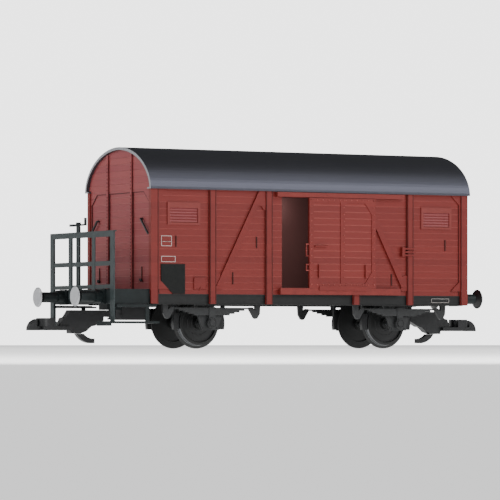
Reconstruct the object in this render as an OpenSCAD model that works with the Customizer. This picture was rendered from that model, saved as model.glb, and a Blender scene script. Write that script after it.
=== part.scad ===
// Model covered goods wagon with a brakeman's platform, for 45 mm track.
// Millimetres, +Z up. Z = 0 is the lowest point of the wheel flanges.
// X = 0 is midway between the coupler tips; the platform is at the -X end (front).

/* [Wheels] */
// Distance between the rails' inner faces
gauge = 45; // [37.5:0.5:54]
// Tread diameter of each wheel
tread_d = 38; // [30:0.5:43.2]
// Depth of the wheel flange below the tread
flange_h = 3; // [2.5:0.1:3.6]
// Width of a wheel, flange and tread together
wheel_w = 6; // [5:0.1:7.2]
// Distance between the two axles
wheelbase = 188; // [156:1:226]
// Radius of the axle rods
axle_r = 1.6; // [1.3:0.05:2]

/* [Body] */
// Length of the planked body
body_l = 316; // [263:1:380]
// Width over the side posts
body_w = 119.2; // [99:0.2:143]
// Height of the planking, from deck level to the eaves
wall_h = 84.5; // [70:0.5:102]
// Number of planks up each side
board_n = 15; // [12:1:18]
// Thickness of the walls
wall_t = 2.4; // [2:0.1:2.9]
// How far the posts and braces stand proud of the planks
post_t = 2; // [1.6:0.1:2.4]
// Rise of the roof above the eaves
roof_rise = 37.5; // [31:0.5:45]
// Thickness of the roof shell
roof_t = 2.4; // [2:0.1:2.9]
// How far the roof reaches past the corner posts
roof_over = 1.4; // [1.2:0.1:1.7]

/* [Doors] */
// Width of each sliding door
door_w = 67; // [56:0.5:80]
// Thickness of the door panel behind its strips
door_t = 1.8; // [1.5:0.1:2.2]
// How far the left door stands open
door_shift = 28; // [0:0.5:33]

/* [Platform] */
// Length of the platform, from end wall to headstock face
platform_l = 34; // [28.5:0.5:41]
// Height of the railing above the deck
railing_h = 48.9; // [41:0.1:58.5]
// Distance of the brake column from the middle line
column_y = 18; // [15:0.5:21.6]

/* [Buffers and couplers] */
// Distance between the two buffers of one end
buffer_space = 71.5; // [60:0.5:85]
// Length of a buffer, from headstock to disc face
buffer_l = 26.5; // [22:0.5:32]
// Radius of a buffer disc
buffer_r = 8.5; // [7:0.1:10.2]
// Distance of the front coupler's tip past the front headstock
front_reach = 52.4; // [48:0.1:62]
// Distance of the rear coupler's tip past the rear headstock
rear_reach = 45.4; // [45:0.1:56]

/* [Clearances] */
// Radial clearance of each axle end in its box, and of each coupler pin
run_clear = 0.05; // [0.02:0.01:0.1]
// Gap between a door and the posts behind it
door_gap = 0.4; // [0.3:0.05:0.5]
// Gap between a door's bottom edge and its rail
slide_gap = 0.1; // [0.05:0.01:0.2]

/* [Hidden] */
$fn = 48;
hl = body_l / 2;
hw = body_w / 2;
board_y = hw - post_t;
inner_y = board_y - wall_t;
tread_r = tread_d / 2;
axle_z = flange_h + tread_r;
sole_top = flange_h + tread_d + 5.3;
sole_bot = sole_top - 8.8;
deck_top = sole_top + 4;
eave_z = deck_top + wall_h;
pitch = wall_h / board_n;
roof_a = hw + 1.9;
ledge_t = 1.2;
open_x = door_w / 2 - 3.3;
post1 = open_x + 13.4;
post2 = hl - 59.4;
vent_x = hl - 32;
front_x = hl + platform_l;
end_x = hl - post_t;
inner_x = end_x - wall_t;
front_tip = front_x + front_reach;
rear_tip = hl + rear_reach;
body_x = (front_tip - rear_tip) / 2;
axle_x = wheelbase / 2;
wheel_back = gauge / 2 - 2.25;
wheel_front = wheel_back + wheel_w;
box_r = 4.4;
box_top = axle_z + box_r + 0.5;
guard_out = hw - 13.6;
guard_in = guard_out - 2;
box_out = hw - 9.8;
box_in = guard_in - 2.6;
axle_end = box_out - 3;
spring_top = sole_bot - 2.5;
leaf_n = 5;
leaf_t = (spring_top - box_top - 1.5) / leaf_n;
spring_half = min(42, hl - axle_x - 16);
leaf_step = (spring_half - 18) / leaf_n;
door_in = hw + door_gap;
door_face = door_in + door_t;
strip_t = 0.6;
door_out = door_face + strip_t;
rail_out = door_out - 0.2;
low_rail_z = sole_top + 0.2;
low_rail_top = deck_top + 1.8;
door_bot = low_rail_top + slide_gap;
top_rail_z = eave_z - 4.4;
door_top = top_rail_z - 0.4;
lintel_z = eave_z - 4.8;
buffer_z = sole_top - 2.3;
pivot_in = 78.3;
tongue_z = sole_top - 26.7;
tongue_top = sole_top - 13.5;
loop_z = sole_top - 31.3;

// A box between two opposite corners.
module span(a, b) {
  translate(a)
    cube(b - a);
}

// Everything is drawn about the middle of the body, then moved to the frame.
module place() {
  translate([body_x, 0, 0])
    children();
}

// The same piece turned half round, for the other side or end.
module turned() {
  rotate([0, 0, 180])
    children();
}

// A flat shape drawn in X and Z, standing at y and reaching t towards -Y.
module upright(y, t) {
  translate([0, y, 0])
    rotate([90, 0, 0])
      linear_extrude(height = t)
        children();
}

// A flat shape drawn in Y and Z, standing at x and reaching t towards +X.
module across(x, t) {
  translate([x, 0, 0])
    rotate([90, 0, 90])
      linear_extrude(height = t)
        children();
}

// A round bar along Y.
module bar_y(x, z, r, y0, y1) {
  translate([x, y0, z])
    rotate([-90, 0, 0])
      cylinder(r = r, h = y1 - y0);
}

// A round bar along X.
module bar_x(y, z, r, x0, x1) {
  translate([x0, y, z])
    rotate([0, 90, 0])
      cylinder(r = r, h = x1 - x0);
}

// Points of the roof arch, a slightly full half ellipse.
function arch(a, b) = [for (i = [0:48])
  let (p = i * 3.75, c = cos(p), s = sin(p))
  [a * sign(c) * pow(abs(c), 1.047), eave_z + b * pow(abs(s), 1.047)]];

// Height of the inside of the arch above a distance y from the middle.
function arch_z(y) = eave_z + (roof_rise - roof_t)
  * pow(1 - pow(y / (roof_a - roof_t), 1.91), 1 / 1.91);

module floor_node() {
  color("#2a2c2c") {
    span([-inner_x, -inner_y, sole_top], [inner_x, inner_y, deck_top]);
    coupler_pad(rear_tip - pivot_in, sole_top);
    span([pivot_in + 7.4 - front_tip, -8, loop_z + 9.5],
      [pivot_in + 32 - front_tip, 8, sole_top]);
    span([rear_tip - pivot_in - 19, -8, loop_z + 9.5],
      [rear_tip - pivot_in - 5.2, 8, sole_top]);
  }
}

// Block and pin that a coupler swings on, hung under z_top.
module coupler_pad(x, z_top) {
  span([x - 7, -8, tongue_top + 0.3], [x + 7, 8, z_top]);
  translate([x, 0, tongue_top - 8])
    cylinder(r = 1.5, h = 9);
  translate([x, 0, tongue_top - 8])
    cylinder(r = 2.6, h = 1.6);
}

module solebar() {
  color("#262828")
    difference() {
      span([-hl, -board_y, sole_bot], [hl - 4, -board_y + 7.6, sole_top]);
      span([-hl - 1, -board_y - 1, sole_bot + 0.8], [hl, -board_y + 0.6, sole_top - 1.2]);
    }
}

// One plain half of a side wall, from the doorway to the +X corner.
module wall_half() {
  difference() {
    span([open_x, -board_y, sole_top], [hl, -inner_y, eave_z]);
    for (i = [0:board_n - 1])
      span([open_x - 1, -board_y - 1, deck_top + i * pitch - 0.22],
        [hl + 1, -board_y + 0.4, deck_top + i * pitch + 0.22]);
    span([vent_x - 13.5, -board_y - 1, eave_z - 28.3],
      [vent_x + 13.5, -board_y + 1.2, eave_z - 15.8]);
  }
  span([hl - 7, -hw, sole_bot + 0.5], [hl, -board_y, eave_z]);
  span([post2 - 3.1, -hw, sole_bot + 0.5], [post2 + 3.1, -board_y, eave_z]);
  span([post1 - 3.2, -hw, sole_bot + 0.5], [post1 + 3.2, -board_y, eave_z]);
  brace();
  for (m = [0, 1])
    translate([0, 0, m * (deck_top + eave_z)])
      mirror([0, 0, m])
        upright(-board_y, post_t * 0.6)
          polygon([[hl - 17, deck_top], [hl - 7, deck_top], [hl - 7, deck_top + 9.5]]);
  span([hl - 8.4, -board_y - post_t * 0.6, deck_top], [hl - 7, -board_y, eave_z]);
}

// Diagonal strip with its two gusset plates.
module brace() {
  z0 = deck_top + 3.3;
  x0 = post1 + 4.3;
  x1 = post2 - 9.2;
  upright(-board_y, post_t)
    polygon([[x0, eave_z], [x0 + 5.7, eave_z], [x1 + 5.7, z0], [x1, z0]]);
  upright(-board_y, post_t * 0.6)
    polygon([[post1 + 3.2, eave_z], [x0 + 5, eave_z], [x0 + 7, eave_z - 12.8],
      [post1 + 7.2, eave_z - 12.8], [post1 + 5.2, eave_z - 16.1],
      [post1 + 3.2, eave_z - 16.1]]);
  upright(-board_y, post_t * 0.6)
    polygon([[post2 - 3.1, deck_top], [x1, deck_top], [x1, z0],
      [x1 + 2, deck_top + 13.3], [post2 - 3.1, deck_top + 13.3]]);
}

// Front half of the left wall, with the strips over and under the doorway.
module wall_front() {
  color("#8c3e38") {
    mirror([1, 0, 0])
      wall_half();
    span([-open_x, -board_y, lintel_z], [open_x, -inner_y, eave_z]);
    span([-open_x, -board_y, sole_top], [open_x, -inner_y, deck_top]);
    span([-post2 - 17.5, -board_y - 0.8, deck_top + 0.3],
      [-post2 - 6, -board_y, deck_top + 9.7]);
  }
}

// Rear half of the left wall, with the bracket that stops the open door.
module wall_rear() {
  color("#8c3e38") {
    wall_half();
    span([post2 - 9.2, -hw - 1.4, deck_top + 30.2], [post2 - 6.4, -board_y, deck_top + 38.2]);
    for (i = [0:2])
      span([post2 - 7, -hw - 1.6, deck_top + 30.7 + i * 2.8],
        [post2 + 4.6, -board_y, deck_top + 32 + i * 2.8]);
  }
}

module end_wall() {
  a = roof_a - roof_t - 0.1;
  b = roof_rise - roof_t - 0.1;
  belt_z = eave_z - 2;
  color("#8a4741") {
    difference() {
      across(-end_x, wall_t)
        union() {
          polygon([[-inner_y, sole_top], [inner_y, sole_top],
            [inner_y, eave_z], [-inner_y, eave_z]]);
          gable(a, b);
        }
      board_lines(-end_x);
    }
    difference() {
      across(-end_x - 0.7, 0.7)
        union() {
          gable(a, b);
          translate([-inner_y, belt_z])
            square([2 * inner_y, 2]);
          for (s = [-1, 1])
            polygon([[s * inner_y, belt_z], [s * (inner_y - 11.5), belt_z],
              [s * (inner_y - 1.4), belt_z - 9], [s * (inner_y - 1.4), deck_top],
              [s * inner_y, deck_top]]);
        }
      board_lines(-end_x - 0.7);
    }
    for (s = [-1, 1])
      end_post(s * 22);
  }
}

// The part of an end wall above the eaves, inside the roof shell.
module gable(a, b) {
  translate([-inner_y + 0.1, eave_z - 1])
    square([2 * inner_y - 0.2, ledge_t + 2]);
  intersection() {
    polygon(arch(a, b));
    translate([-roof_a, eave_z + ledge_t + 0.1])
      square([2 * roof_a, roof_rise]);
  }
}

// Cuts for the joints between the planks of an end wall whose face is at x.
module board_lines(x) {
  for (i = [0:board_n + 6])
    span([x - 1, -hw, deck_top + i * pitch - 0.22],
      [x + 0.4, hw, deck_top + i * pitch + 0.22]);
}

// Channel-shaped post of an end wall, open towards -Y.
module end_post(y) {
  z1 = arch_z(abs(y) + 2) - 0.3;
  span([-hl, y - 1.4, deck_top], [-hl + 0.6, y + 1.4, z1]);
  span([-hl, y + 0.6, deck_top], [-end_x, y + 1.4, z1]);
}

module roof() {
  color("#2b2b2b")
    across(-hl - roof_over, body_l + 2 * roof_over)
      union() {
        difference() {
          polygon(arch(roof_a, roof_rise));
          polygon(arch(roof_a - roof_t, roof_rise - roof_t));
        }
        for (s = [-1, 1])
          translate([s > 0 ? inner_y : -roof_a, eave_z])
            square([roof_a - inner_y, ledge_t]);
      }
}

// Sliding door, drawn closed on the left side.
module door() {
  h = door_w / 2;
  color("#8c3e38") {
    difference() {
      span([-h, -door_face, door_bot], [h, -door_in, door_top]);
      for (i = [1:board_n - 1])
        span([-h - 1, -door_face - 1, deck_top + i * pitch - 0.22],
          [h + 1, -door_face + 0.4, deck_top + i * pitch + 0.22]);
    }
    upright(-door_face, strip_t)
      difference() {
        translate([-h, door_bot])
          square([door_w, door_top - door_bot]);
        for (s = [0, 1])
          mirror([s, 0, 0])
            translate([2.2, door_bot + 4])
              square([h - 6.4, door_top - door_bot - 8]);
      }
    upright(-door_face, strip_t) {
      polygon([[h - 4, door_top - 3], [h - 12, door_top - 3], [h - 4, door_top - 14]]);
      polygon([[h - 4, door_bot + 3], [h - 12, door_bot + 3], [h - 4, door_bot + 14]]);
      polygon([[4 - h, door_bot + 3], [12 - h, door_bot + 3], [4 - h, door_bot + 14]]);
    }
    span([9.6 - h, -door_out - 0.8, door_bot - 2.1], [h - 9.6, -door_out, door_bot + 1.6]);
    for (x = [9.5 - h, h - 10.5])
      span([x - 0.6, -door_out - 1.1, door_bot + 8.8],
        [x + 0.6, -door_face, door_bot + 20.5]);
    bar_x(-door_out - 1.4, deck_top + 38.1, 0.7, 5 - h, 17.6 - h);
    for (x = [5.8 - h, 16.8 - h])
      bar_y(x, deck_top + 38.1, 0.5, -door_out - 1.4, -door_face);
    edge_loop(-h, deck_top + 29.2, 11);
    edge_loop(-h, deck_top + 16.6, 6);
  }
}

// A flat loop of the given height that stands out from a door's edge at x.
module edge_loop(x, z, height) {
  upright(-door_in - 0.5, 1.2)
    difference() {
      translate([x - 2.9, z])
        square([3.4, height]);
      translate([x - 2, z + 0.9])
        square([3, height - 1.8]);
    }
}

// Upper and lower rails of the left door, with the blocks that hold them.
module door_rails() {
  x1 = post2 - 7.8;
  color("#80352f") {
    span([-open_x - 6.8, -rail_out, top_rail_z], [x1, -hw, eave_z - 0.5]);
    span([-open_x - 3.8, -rail_out, low_rail_z], [x1 - 3.8, -hw, low_rail_top]);
    for (x = [-open_x - 6.8, -2, x1 - 4])
      span([x, -hw, top_rail_z], [x + 4, -board_y, eave_z - 0.5]);
    for (x = [-open_x - 3.8, -2, x1 - 7.8])
      span([x, -hw, low_rail_z], [x + 4, -board_y, deck_top - 0.4]);
  }
}

// One louvred vent on the left side.
module vent() {
  z0 = eave_z - 30;
  difference() {
    span([vent_x - 15.75, -board_y - 1, z0], [vent_x + 15.75, -board_y, z0 + 19]);
    span([vent_x - 13.4, -board_y - 2, z0 + 1.8], [vent_x + 13.4, -board_y + 1, z0 + 14.1]);
  }
  for (i = [0:4])
    translate([vent_x, -board_y + 0.15, z0 + 3.15 + i * 2.4])
      rotate([62, 0, 0])
        cube([26.9, 2.6, 0.5], center = true);
}

module chalk_board() {
  x = -hl;
  upright(-board_y, 0.9)
    polygon([[x + 10.1, deck_top + 21.2], [x + 33, deck_top + 21.2],
      [x + 33, deck_top - 3.9], [x + 21.5, deck_top - 3.9],
      [x + 10.3, deck_top + 6.4]]);
}

// Guard plates of one axle, with their ties and the spring hangers.
module axle_guards() {
  z0 = axle_z - 5;
  w = spring_half;
  color("#242626")
    for (s = [0, 1])
      rotate([0, 0, 180 * s]) {
        upright(-guard_in, guard_out - guard_in)
          difference() {
            polygon([[-17, sole_top], [17, sole_top], [14, spring_top - 1],
              [8.5, z0 + 2], [8.5, z0 - 1.2], [-8.5, z0 - 1.2], [-8.5, z0 + 2],
              [-14, spring_top - 1]]);
            polygon([[-12, sole_bot - 1], [-4, sole_bot - 1], [-4, box_top + 1], [-8, box_top + 1]]);
            polygon([[12, sole_bot - 1], [4, sole_bot - 1], [4, box_top + 1], [8, box_top + 1]]);
            translate([0, axle_z])
              circle(r = box_r + 0.03);
          }
        for (m = [0, 1])
          mirror([m, 0, 0])
            upright(-guard_out - 0.8, 2.4)
              polygon([[w + 6, sole_top], [w - 0.4, sole_top], [w + 0.4, sole_bot - 4.6],
                [w - 2.4, sole_bot - 2], [w - 5.5, sole_bot - 2.2], [w - 5.5, sole_bot - 4.2],
                [w - 1, spring_top - 8.8], [w + 0.4, spring_top - 9.6], [w + 2.6, spring_top - 9],
                [w + 5, spring_top - 5]]);
      }
}

// Leaf springs of one axle, each stack hung below its hangers' tops.
module springs() {
  y0 = -guard_out - 3.4;
  color("#202222")
    for (s = [0, 1])
      rotate([0, 0, 180 * s]) {
        for (i = [0:leaf_n - 1])
          span([-spring_half + 5.6 + leaf_step * i, y0, spring_top - (i + 1) * leaf_t],
            [spring_half - 5.6 - leaf_step * i, -guard_out - 0.4, spring_top - i * leaf_t]);
        span([-3, y0 - 0.5, box_top], [3, -guard_out, spring_top + 0.6]);
      }
}

module axle_boxes() {
  color("#242626")
    for (s = [0, 1])
      rotate([0, 0, 180 * s])
        difference() {
          union() {
            bar_y(0, axle_z, box_r, -box_out, -box_in);
            span([-2.8, -box_out + 0.4, axle_z], [2.8, -guard_out - 0.05, box_top]);
            bar_y(0, axle_z, 2.6, -box_out - 0.8, -box_out);
          }
          bar_y(0, axle_z, axle_r + run_clear, -axle_end - 0.2, 0);
        }
}

module axle() {
  color("#8f9394")
    bar_y(0, axle_z, axle_r, -axle_end, axle_end);
}

// The two wheels of one axle, turned from one profile.
module wheels() {
  r = tread_r;
  color("#a9abac")
    for (s = [0, 1])
      translate([0, 0, axle_z])
        rotate([-90 + 180 * s, 0, 0])
          rotate_extrude($fn = 96)
            polygon([[axle_r + 0.02, wheel_back - 1], [4.4, wheel_back - 1],
              [4.8, wheel_back + 1.6], [r - 3.4, wheel_back + 1.6], [r - 3, wheel_back],
              [r + flange_h - 0.5, wheel_back], [r + flange_h, wheel_back + 0.6],
              [r + flange_h - 0.5, wheel_back + 1.2], [r + 0.3, wheel_back + 1.7],
              [r - 0.1, wheel_front], [r - 2.2, wheel_front], [r - 2.6, wheel_front - 1.8],
              [5, wheel_front - 1.8], [4.4, wheel_front + 0.6], [axle_r + 0.02, wheel_front + 0.6]]);
}

// Shoes beside the wheels of one axle, each with its strap up to the floor.
module shoes() {
  r0 = tread_r + 0.9;
  r1 = tread_r + 6;
  for (s = [0, 1], m = [0, 1])
    rotate([0, 0, 180 * s])
      mirror([m, 0, 0]) {
        upright(-wheel_front + 4, 4)
          difference() {
            intersection() {
              translate([0, axle_z])
                circle(r = r1, $fn = 96);
              translate([r0 * 0.8, axle_z - 5.5])
                square([r1, 14]);
            }
            translate([0, axle_z])
              circle(r = r0, $fn = 96);
          }
        span([tread_r + 3.2, -wheel_front + 0.8, axle_z + 7],
          [tread_r + 5.4, -wheel_front + 3.2, sole_top]);
      }
}

// Square foot and stepped barrel of one buffer, at the -X end.
module buffer_barrel(x) {
  span([x - 1.6, -6.5, buffer_z - 6.5], [x, 6.5, buffer_z + 6.5]);
  bar_x(0, buffer_z, 5.6, x - buffer_l * 0.3, x - 1.6);
  bar_x(0, buffer_z, 4.5, x - buffer_l + 5, x - buffer_l * 0.3);
}

module buffer_head(x) {
  e = x - buffer_l;
  bar_x(0, buffer_z, 2.7, e + 1.9, e + 5);
  translate([e, 0, buffer_z])
    rotate([0, 90, 0])
      rotate_extrude($fn = 64)
        polygon([[0, 0], [buffer_r - 1, 0], [buffer_r, 0.8], [buffer_r, 1.5],
          [buffer_r - 1.2, 2], [buffer_r - 4.6, 4.6], [0, 4.6]]);
}

module platform_deck() {
  n = 6;
  color("#2a3535")
    difference() {
      union() {
        span([-front_x, -hw + 2.6, deck_top - 2], [-hl, hw - 2.6, deck_top]);
        span([-hl - 1, -inner_y, deck_top - 2], [-end_x, inner_y, deck_top]);
      }
      for (i = [1:n - 1])
        span([-front_x + i * platform_l / n - 0.25, -hw, deck_top - 0.4],
          [-front_x + i * platform_l / n + 0.25, hw, deck_top + 1]);
    }
}

module platform_sills() {
  x = -front_tip + pivot_in;
  color("#262828") {
    for (s = [0, 1])
      mirror([0, s, 0])
        span([-front_x + 4, -hw + 2.6, sole_bot + 0.4], [-hl, -hw + 7.2, deck_top - 2]);
    coupler_pad(x, deck_top - 2);
  }
}

module headstock(x, z_top, w) {
  span([x, -w, sole_bot + 0.4], [x + 4, w, z_top]);
}

// End railing: two outer posts, two inner posts and three rails.
module platform_railing() {
  x = -front_x;
  z1 = deck_top + railing_h;
  w = hw + 0.8;
  color("#2c3a3a") {
    for (s = [0, 1])
      mirror([0, s, 0]) {
        span([x - 1.6, w - 7, loop_z + 8.2], [x - 0.6, w, z1]);
        span([x - 1.6, w - 7, loop_z + 8.2], [x + 0.6, w - 6, sole_bot]);
        span([x - 1.6, w - 7, loop_z + 8.2], [x, w - 6, z1]);
        span([x - 1.6, 19.4, deck_top - 8], [x, 20.4, z1]);
        span([x - 1.6, 19.4, deck_top - 8], [x - 0.7, 24.8, z1]);
        span([x - 1.6, 19.4, deck_top - 8], [x, 24.8, deck_top - 4]);
      }
    span([x - 1.6, -w, z1 - 5.1], [x - 0.6, w, z1]);
    span([x - 1.6, -w, z1 - 1], [x + 1, w, z1]);
    span([x - 1.4, -w, z1 - 29.4], [x - 0.5, w, z1 - 25.5]);
    span([x - 1.4, -w, deck_top + 0.3], [x - 0.5, w, deck_top + 3.7]);
  }
}

// Treads on both sides, each with its rear hanger.
module platform_steps() {
  zl = loop_z + 8.2;
  x = -front_x;
  color("#2a3535")
    for (s = [0, 1])
      mirror([0, s, 0]) {
        difference() {
          span([x - 4.7, -hw - 0.8, zl - 1.9], [-hl + 7.6, -hw + 25, zl]);
          for (i = [1:7])
            span([x - 3, -hw - 0.8 + i * 3.2 - 0.4, zl - 0.5],
              [-hl + 8, -hw - 0.8 + i * 3.2 + 0.4, zl + 1]);
        }
        span([x - 4.7, -hw - 0.8, zl - 4], [x - 3.8, -hw + 25, zl - 1.9]);
        span([x + 1, -hw - 0.8, zl + 11.8], [-hl + 5, -hw + 8, zl + 13.2]);
        span([x + 1, -hw - 0.8, zl + 13.2], [-hl + 5, -hw, zl + 14]);
        span([-hl - 5.7, -hw - 0.6, zl], [-hl - 2, -hw + 0.4, zl + 11.8]);
        span([-hl - 4.3, -hw, zl], [-hl - 3.4, -hw + 2.6, zl + 11.8]);
      }
}

module brake_column() {
  x = -front_x + 4.5;
  z1 = deck_top + railing_h + 5.8;
  color("#2c3a3a") {
    translate([x, column_y, deck_top])
      cylinder(r = 1.6, h = z1 - deck_top);
    translate([x, column_y, deck_top])
      cylinder(r = 3.2, h = 1.6);
    span([x - 5.1, column_y - 1.2, z1 - 10.4], [x, column_y + 1.2, z1 - 9]);
    span([x - 4.9, column_y - 1.2, z1 - 34], [x, column_y + 1.2, z1 - 32.6]);
    translate([x, column_y + 3.4, deck_top])
      cylinder(r = 0.5, h = z1 - 32 - deck_top);
    span([x - 0.5, column_y, z1 - 33.4], [x + 0.5, column_y + 3.9, z1 - 32.4]);
  }
}

module brake_crank() {
  x = -front_x + 4.5;
  z1 = deck_top + railing_h + 5.8;
  color("#303c3c") {
    translate([x, column_y, z1])
      cylinder(r = 2.2, h = 3);
    span([x - 0.9, column_y - 13.3, z1], [x + 0.9, column_y + 13, z1 + 1.4]);
    translate([x, column_y - 13.3, z1])
      cylinder(r = 1.2, h = 6.6);
    span([x - 1.6, column_y + 7, z1 - 0.3], [x + 1.6, column_y + 14.4, z1 + 1.7]);
  }
}

// Coupler pieces, drawn with the tip at X = 0 and the pivot at +X.
module tongue() {
  z = loop_z;
  color("#2a3131") {
    upright(4, 8)
      polygon([[28.2, z + 4], [31.3, z + 11.1], [34.5, z + 11.8], [38.4, tongue_top],
        [70, tongue_top], [70, z + 9], [61.6, z + 4.4], [58.5, z + 4],
        [53.5, z - 0.2], [48, z - 2.2], [38.6, z - 2], [38.1, z + 4]]);
    difference() {
      union() {
        span([69, -4, tongue_top - 5.8], [pivot_in, 4, tongue_top]);
        translate([pivot_in, 0, tongue_top - 5.8])
          cylinder(r = 4.6, h = 5.8);
      }
      translate([pivot_in, 0, tongue_top - 7])
        cylinder(r = 1.5 + run_clear, h = 8);
    }
  }
}

// Upright U-shaped loop on its base plate.
module loop() {
  z = loop_z;
  color("#2a3131") {
    translate([0, 0, z + 4])
      linear_extrude(height = 7)
        difference() {
          loop_plan(8, 22.2);
          loop_plan(6.4, 23.2);
        }
    span([11, -8, z + 0.6], [38, 8, z + 4]);
  }
}

// Plan of the loop: half round in front, straight behind, out to x.
module loop_plan(r, x) {
  translate([16.9, 0])
    circle(r = r, $fn = 64);
  translate([16.9, -r])
    square([x - 16.9, 2 * r]);
}

// Side shape of the claw: two arcs that meet at its tip.
module claw() {
  z = loop_z;
  intersection() {
    translate([9.4, z + 0.9])
      circle(r = 9.4, $fn = 64);
    difference() {
      translate([0, z + 0.5])
        square([9.4, 9.7]);
      translate([13.6, z + 6.6])
        circle(r = 6.6, $fn = 64);
    }
  }
}

// Claw on its shank, with the release lever under the tongue.
module hook() {
  z = loop_z;
  color("#2a3131") {
    upright(3, 6)
      claw();
    span([6, -3, z + 0.6], [10.95, 3, z + 3.95]);
    upright(2.6, 5.2)
      lever();
  }
}

// Side shape of the release lever: a ring's quarter with a short foot.
module lever() {
  z = loop_z;
  intersection() {
    difference() {
      translate([59.5, z + 6.6])
        circle(r = 17, $fn = 96);
      translate([61, z + 6])
        circle(r = 12.4, $fn = 96);
    }
    translate([38, z - 12])
      square([24, 9.75]);
  }
}

module at_front() {
  translate([-front_tip, 0, 0])
    children();
}

module at_rear() {
  translate([rear_tip, 0, 0])
    rotate([0, 0, 180])
      children();
}

module both_axles() {
  for (s = [-1, 1])
    translate([s * axle_x, 0, 0])
      children();
}

place() floor_node();  // floor
place() solebar();  // left_solebar
place() mirror([0, 1, 0]) solebar();  // right_solebar
place() color("#2a3535") headstock(-front_x, deck_top - 2, hw - 2.6);  // front_headstock
place() color("#262828") headstock(hl - 4, sole_top, board_y);  // rear_headstock
place() wall_front();  // left_wall_front
place() wall_rear();  // left_wall_rear
place() turned() wall_rear();  // right_wall_front
place() turned() wall_front();  // right_wall_rear
place() end_wall();  // front_wall
place() turned() end_wall();  // rear_wall
place() roof();
place() translate([door_shift, 0, 0]) door();  // left_door
place() turned() door();  // right_door
place() door_rails();  // left_door_rails
place() turned() door_rails();  // right_door_rails
place()  // vents
    color("#9a4a43")
      for (s = [0, 1], m = [0, 1])
        rotate([0, 0, 180 * s])
          mirror([m, 0, 0])
            vent();
place()  // chalk_boards
    color("#232525")
      for (s = [0, 1])
        rotate([0, 0, 180 * s])
          chalk_board();
place() translate([-axle_x, 0, 0]) axle_guards();  // front_axle_guards
place() translate([axle_x, 0, 0]) axle_guards();  // rear_axle_guards
place() translate([-axle_x, 0, 0]) springs();  // front_springs
place() translate([axle_x, 0, 0]) springs();  // rear_springs
place() translate([-axle_x, 0, 0]) axle_boxes();  // front_axle_boxes
place() translate([axle_x, 0, 0]) axle_boxes();  // rear_axle_boxes
place() translate([-axle_x, 0, 0]) axle();  // front_axle
place() translate([axle_x, 0, 0]) axle();  // rear_axle
place() translate([-axle_x, 0, 0]) wheels();  // front_wheels
place() translate([axle_x, 0, 0]) wheels();  // rear_wheels
place() color("#2c2e2e") both_axles() shoes();  // brake_shoes
place()  // buffer_barrels
    color("#2a2e2e")
      for (s = [-1, 1]) {
        translate([0, s * buffer_space / 2, 0])
          buffer_barrel(-front_x);
        turned()
          translate([0, s * buffer_space / 2, 0])
            buffer_barrel(-hl);
      }
place()  // buffer_heads
    color("#b8b8bc")
      for (s = [-1, 1]) {
        translate([0, s * buffer_space / 2, 0])
          buffer_head(-front_x);
        turned()
          translate([0, s * buffer_space / 2, 0])
            buffer_head(-hl);
      }
place() platform_deck();
place() platform_sills();
place() platform_railing();
place() platform_steps();
place() brake_column();
place() brake_crank();
place() at_front() tongue();  // front_coupler_tongue
place() at_front() loop();  // front_coupler_loop
place() at_front() hook();  // front_coupler_hook
place() at_rear() tongue();  // rear_coupler_tongue
place() at_rear() loop();  // rear_coupler_loop
place() at_rear() hook();  // rear_coupler_hook
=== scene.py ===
import math

import bmesh
import bpy
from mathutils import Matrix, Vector


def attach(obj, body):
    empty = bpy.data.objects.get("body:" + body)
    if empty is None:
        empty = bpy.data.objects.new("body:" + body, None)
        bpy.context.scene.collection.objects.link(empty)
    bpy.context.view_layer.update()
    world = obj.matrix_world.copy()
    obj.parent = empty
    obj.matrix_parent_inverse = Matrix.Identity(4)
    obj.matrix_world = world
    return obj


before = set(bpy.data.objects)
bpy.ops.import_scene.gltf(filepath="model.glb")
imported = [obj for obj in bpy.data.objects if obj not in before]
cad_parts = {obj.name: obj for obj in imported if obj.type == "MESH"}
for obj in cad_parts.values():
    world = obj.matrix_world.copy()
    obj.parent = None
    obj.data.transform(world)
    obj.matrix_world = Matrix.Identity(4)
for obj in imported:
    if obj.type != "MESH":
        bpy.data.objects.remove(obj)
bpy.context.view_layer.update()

MM = 0.001

# Sizes of the wagon that the trim is placed by, in millimetres. X runs from
# the middle of the body, and body_x is where that middle lies in the frame.
body_x = 20.5
half_length = 158.0
board_y = 57.6
post_y = 59.6
end_boards = 156.0
roof_rim_x = 159.3
# The platform moves the middle between the buffers towards the front; past
# this reach from that middle lie their faces.
buffers_shift = 17.0
buffer_back_x = 200.4
# Middles and half widths of the upright posts on the sides.
door_post_x = 43.6
door_post_half = 3.2
end_side_post_x = 98.6
end_side_post_half = 3.1
corner_strip_x = 149.6
corner_post_x = 151.4
end_post_y = 22.0
column_x = -187.5
column_y = 18.0
end_panel_y = 53.5
end_panel_z = 123.8
end_belt_y = 43.4
end_belt_z = 132.8
# Anything nearer the middle than this is inside the walls.
inside_y = 56.6
inside_x = 154.9
deck_top = 50.3
sole_foot = 38.2
eave_z = 134.8
board_pitch = 84.5 / 15
groove_half = 0.22
groove_deep = 0.45
door_half = 33.5
door_face = 61.8
door_strip = 62.4
door_bottom = 52.2
door_top = 130.0
left_door_x = 28.0
right_door_x = 0.0
axle_reach = 94.0
axle_z = 22.0
tread_r = 19.0
tread_y = 21.9
wheel_face_y = 24.4
guard_y = 46.0
box_y = 49.8

# Sockets of a colour Mix node: its factor, its two colours and what comes out.
FACTOR = 0
FIRST = 6
SECOND = 7
MIXED = 2

# ---------------------------------------------------------------------------
# Small helpers
# ---------------------------------------------------------------------------


def linear(colour):
    """Turns an sRGB hex value into the linear RGBA that Blender mixes in."""
    parts = [int(colour[i : i + 2], 16) / 255 for i in (1, 3, 5)]
    spread = [p / 12.92 if p <= 0.04045 else ((p + 0.055) / 1.055) ** 2.4 for p in parts]
    return (*spread, 1.0)


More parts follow.
